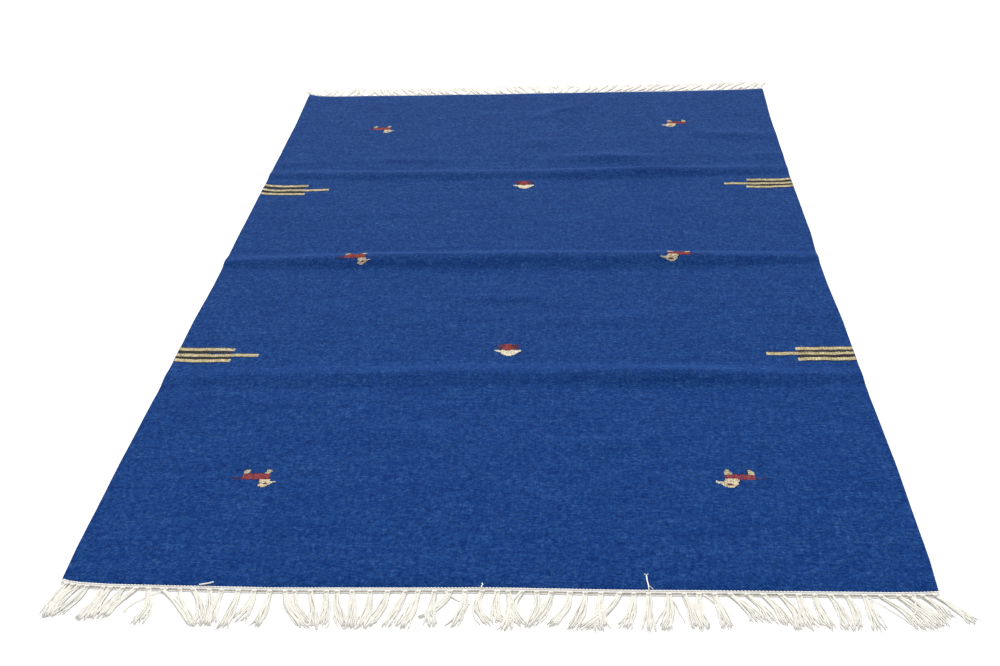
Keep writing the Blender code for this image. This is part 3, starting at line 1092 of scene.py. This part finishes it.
def knots(side, places):
    """The knots: round lumps on a grid of turn and rise, drawn in by grooves where the yarn passes over."""
    turns, rises = KNOT_GRID
    turn = np.linspace(0, 2 * np.pi, turns, endpoint=False)
    rise = np.linspace(0, np.pi, rises + 2)[1:-1][:, None]
    depth, grooves, wind = KNOT_GROOVES
    groove = 1 - depth * np.cos(grooves * turn + wind * rise)
    half_x, half_y, half_z = KNOT_HALF_SIZE
    shape = [
        np.sin(rise) * np.cos(turn) * half_x * groove,
        np.sin(rise) * np.sin(turn) * half_y * groove,
        np.broadcast_to(np.cos(rise) * half_z, groove.shape),
    ]
    poles = [[0, 0, half_z], [0, 0, -half_z]]
    lump = np.concatenate([np.stack(shape, axis=-1).reshape(-1, 3), poles])
    y = end_line(side, share_across(places, side * FIELD_LENGTH / 2)) + side * KNOT_OUT
    middle = np.stack([places, y, np.full(len(places), KNOT_HEIGHT)], axis=1)
    faces = [repeated(found[:, ::-1], len(places), len(lump)) for found in ring_faces(rises, turns)]
    return {
        "points": (middle[:, None] + lump).reshape(-1, 3),
        "faces": faces,
        "uvs": [np.full((*found.shape, 2), KNOT_UV) for found in faces],
    }


def yarn_paths(side, tassels, yarns, chance):
    """Paths of every yarn of a fringe, tassel x yarn x station x 3.

    A yarn starts in the heading, is drawn in at its knot and then spreads. Its way sideways adds up the
    tassel's lean times the share of the way out, its bend times a half sine, its own spread, a belly and a
    small wave. It comes down from the pile at the knot by a power of the way left, with a fading ripple.
    """
    place, lean, reach, bend = (tassels[:, column, None, None] for column in range(4))
    own = np.linspace(-1, 1, yarns)[None, :, None] if yarns > 1 else np.zeros((1, 1, 1))
    own = own * np.ones((len(tassels), 1, 1))
    tip_own = own * chance.uniform(*TIP_SHARES, (len(tassels), 1, 1))
    tip_own = tip_own + chance.normal(0, TIP_STRAY, own.shape)
    station = np.linspace(0, 1, YARN_STATIONS)
    beyond = np.clip((station - KNOT_STATION) / (1 - KNOT_STATION), 0, 1) ** OUTWARD_POWER
    before = np.clip(station / KNOT_STATION, 0, 1)
    own_reach = (reach - YARN_REACH_LESS) * (1 + chance.uniform(*YARN_REACHES, own.shape))
    out = YARN_START + (KNOT_OUT - YARN_START) * before + (own_reach - KNOT_OUT) * beyond
    root = (ROOT_SPREAD - KNOT_DRAWN_IN * before) * own
    spread = root * (1 - beyond) + (YARN_SPREAD * own + TIP_SPREAD * tip_own * beyond**TIP_POWER) * beyond
    belly = YARN_BELLY * own * np.sin(np.pi * beyond)
    waviness = chance.uniform(*YARN_WAVINESS, own.shape)
    wave_start = chance.uniform(0, WHOLE_TURN, own.shape)
    wave = YARN_WAVE * np.sin(beyond * waviness + wave_start) * beyond
    x = place + spread + belly + lean * beyond + bend * np.sin(np.pi * beyond) + wave
    y = end_line(side, share_across(place, side * FIELD_LENGTH / 2)) + side * out
    layer = chance.uniform(0, 1, own.shape)
    ripple_turn = RIPPLE_OUTWARD * beyond + RIPPLE_BY_LAYER * layer
    ripple = YARN_RIPPLE * np.abs(np.sin(ripple_turn)) * (1 - beyond)
    pile = (PILE_AT_KNOT * (1 - beyond) ** PILE_POWER + PILE_AT_TIP) * layer
    z = YARN_REST * YARN_RADIUS + pile + ripple
    return np.stack(np.broadcast_arrays(x, y, z), axis=-1)


def frayed_hairs(paths, chance):
    """Thin hairs that part from each yarn's end and spread to the sides by the square of the way along."""
    ends = paths[:, -2:].repeat(HAIRS, axis=0)
    along = ends[:, 1] - ends[:, 0]
    along /= np.linalg.norm(along, axis=1, keepdims=True)
    to_side = np.cross(along, (0.0, 0.0, 1.0))
    each = (len(ends), 1, 1)
    length = chance.uniform(*HAIR_LENGTHS, each)
    swing = chance.uniform(-HAIR_SWING, HAIR_SWING, each)
    share = np.linspace(0, 1, HAIR_STATIONS)[None, :, None]
    start = ends[:, 1][:, None] - along[:, None] * HAIR_ROOT
    start = start + to_side[:, None] * chance.uniform(-HAIR_STRAY, HAIR_STRAY, each)
    hairs = start + length * share * (along[:, None] + swing * share * to_side[:, None])
    hairs[..., 2] += (HAIR_HEIGHT - hairs[..., 2]) * share[..., 0]
    radius = HAIR_RADIUS * (1 - HAIR_TAPER * np.broadcast_to(share[..., 0], hairs.shape[:2]))
    return tubes(hairs, radius, radius, HAIR_SIDES)


def build_heading(name, side, places, twine, knot_yarn):
    """The heading of one end: twined rows whose slants alternate, the outer cord and the fringe's knots."""
    parts = []
    for number, out in enumerate(TWINED_ROWS):
        height = TWINE_RADIUS * CORD_REST + (0 if number else FIRST_ROW_RAISE)
        phase = 0.5 * (number % 2)
        parts.append(along_end(side, out, height, TWINE_RADIUS, TWINE_SIDES, TWINE_SWELL, phase))
    rest = OUTER_CORD_RADIUS * CORD_REST
    parts.append(along_end(side, OUTER_CORD_OUT, rest, OUTER_CORD_RADIUS, CORD_SIDES, OUTER_CORD_SWELL))
    parts.append(knots(side, places))
    yarn_of_part = [0] * (len(parts) - 1) + [1]
    yarn_of_face = np.concatenate(
        [np.repeat(yarn_of_part, [len(part["faces"][kind]) for part in parts]) for kind in (0, 1)]
    )
    materials = [twine, knot_yarn]
    heading = skin_piece(f"{name}_heading", joined(parts), materials, yarn_of_face)
    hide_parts(f"{name}_fringe")
    return heading


def build_painted_slot_shade(name, side, yarn):
    """Painted shade of the heading's slot: a dark cord pressed flat where the slot lies in shade."""
    # the cord's dark colour paints the shade in the slot
    skin = along_end(side, SLOT_OUT, SLOT_HEIGHT, SLOT_RADIUS, CORD_SIDES)
    skin["points"][:, 2] = SLOT_HEIGHT + (skin["points"][:, 2] - SLOT_HEIGHT) * SLOT_FLATNESS
    return skin_piece(f"{name}_painted_slot_shade", skin, [yarn])


def build_fringe(name, fringe, tassels, yarn):
    """The fringe of one end: its yarns, thinner towards their tips by a cube, and their frayed hairs."""
    chance = np.random.default_rng(fringe["seed"])
    sets = [yarn_paths(fringe["side"], tassels, TASSEL_YARNS, chance)]
    if name == "near":
        sets.append(yarn_paths(fringe["side"], np.array(STRAYS) / 1000, 1, chance))
    paths = np.concatenate([found.reshape(-1, YARN_STATIONS, 3) for found in sets])
    share = np.linspace(0, 1, YARN_STATIONS)[None, :]
    radius = YARN_RADIUS * chance.uniform(*YARN_SIZES, (len(paths), 1))
    radius = radius * (KNOT_THICKNESS - TIP_THINNER * share**3)
    half_width, half_height = fringe["flat"]
    yarns = tubes(paths, radius * half_width, radius * half_height, YARN_SIDES)
    skin = joined([yarns, frayed_hairs(paths, chance)])
    piece = skin_piece(f"{name}_tassels", skin, [yarn])
    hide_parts(f"{name}_fringe")
    return piece


def tassel_table(name):
    """Rows of place, lean, reach and bend in metres for one end's tassels."""
    if name == "near":
        return np.array(NEAR_TASSELS) / 1000
    chance = np.random.default_rng(FAR_SEED)
    stray = {value: chance.uniform(-most, most, FAR_TASSELS) for value, most in FAR_STRAY.items()}
    place = np.linspace(*FAR_ENDS, FAR_TASSELS) + stray["place"]
    lean = column_of(FAR_LAY, place, 1) + stray["lean"]
    reach = column_of(FAR_LAY, place, 2) + stray["reach"]
    return np.stack([place, lean, reach, stray["bend"]], axis=1) / 1000


def build_loose_threads(material):
    """Three loose ends of the heading's yarn on the blue, the last one with a frayed tip."""
    thick = np.array([radius for radius, _ in LOOSE_THREADS])[:, None]
    flat = np.array([way for _, way in LOOSE_THREADS])
    z = cloth_top(flat[..., 0], flat[..., 1]) + thick * LOOSE_REST
    radius = np.broadcast_to(thick, z.shape)
    skin = tubes(np.concatenate([flat, z[..., None]], axis=-1), radius, radius, YARN_SIDES)
    return skin_piece("loose_threads", skin, [material])


def build_floor():
    """The studio floor, a plain pale square just under the rug."""
    mesh = bpy.data.meshes.new("floor")
    square = [(x * FLOOR_REACH, y * FLOOR_REACH, 0) for x, y in ((-1, -1), (1, -1), (1, 1), (-1, 1))]
    mesh.from_pydata(square, [], [(0, 1, 2, 3)])
    floor = bpy.data.objects.new("floor", mesh)
    bpy.context.scene.collection.objects.link(floor)
    floor.location.z = -FLOOR_DROP
    material = bpy.data.materials.new("pale floor")
    material.use_nodes = True
    shader = material.node_tree.nodes["Principled BSDF"]
    shader.inputs["Base Color"].default_value = (FLOOR_GREY, FLOOR_GREY, FLOOR_GREY, 1.0)
    shader.inputs["Roughness"].default_value = 1.0
    shader.inputs["Specular IOR Level"].default_value = 0.0
    mesh.materials.append(material)


def light_studio():
    """High-key light: a white surround and a broad soft light high behind the rug."""
    world = bpy.data.worlds.new("studio")
    world.use_nodes = True
    background = world.node_tree.nodes["Background"]
    background.inputs["Color"].default_value = (1.0, 1.0, 1.0, 1.0)
    background.inputs["Strength"].default_value = SURROUND
    bpy.context.scene.world = world
    data = bpy.data.lights.new("back light", "SUN")
    data.angle = np.radians(BACK_LIGHT_SPREAD)
    data.energy = BACK_LIGHT_POWER
    light = bpy.data.objects.new("back light", data)
    bpy.context.scene.collection.objects.link(light)
    light.rotation_euler = np.radians(BACK_LIGHT_TURN)


def add_camera():
    """The camera where the picture was taken from."""
    data = bpy.data.cameras.new("camera")
    data.sensor_width = CAMERA_SENSOR
    data.lens = CAMERA_LENS
    camera = bpy.data.objects.new("camera", data)
    bpy.context.scene.collection.objects.link(camera)
    right, up = Vector(CAMERA_RIGHT).normalized(), Vector(CAMERA_UP).normalized()
    back = right.cross(up).normalized()
    up = back.cross(right)
    turned = Matrix((right, up, back)).transposed().to_4x4()
    camera.matrix_world = Matrix.Translation(Vector(CAMERA_PLACE) + Vector(SHIFT)) @ turned
    bpy.context.scene.camera = camera


def build_rug():
    """Every piece of the rug: the cloth, and the pieces that lie on it."""
    wools = {letter: wool(*kind) for letter, kind in WOOLS.items()}
    blue = weave("blue weave", BLUE_TONES)
    cottons = {use: cotton(*kind) for use, kind in COTTONS.items()}
    field = build_field(blue)
    on_cloth = [build_selvedges(wool("blue wool", BLUE_TONES)), build_loose_threads(cottons["twine"])]
    on_cloth += build_motifs(wools)
    for name, fringe in FRINGES.items():
        side, tassels = fringe["side"], tassel_table(name)
        on_cloth += [
            build_heading(name, side, tassels[:, 0], cottons["twine"], cottons["loose"]),
            # the slot's shade, painted on a dark flat cord
            build_painted_slot_shade(name, side, cottons["slot"]),
            build_fringe(name, fringe, tassels, cottons["loose"]),
        ]


build_rug()
build_floor()
light_studio()
add_camera()
bpy.context.scene.view_settings.view_transform = "Standard"
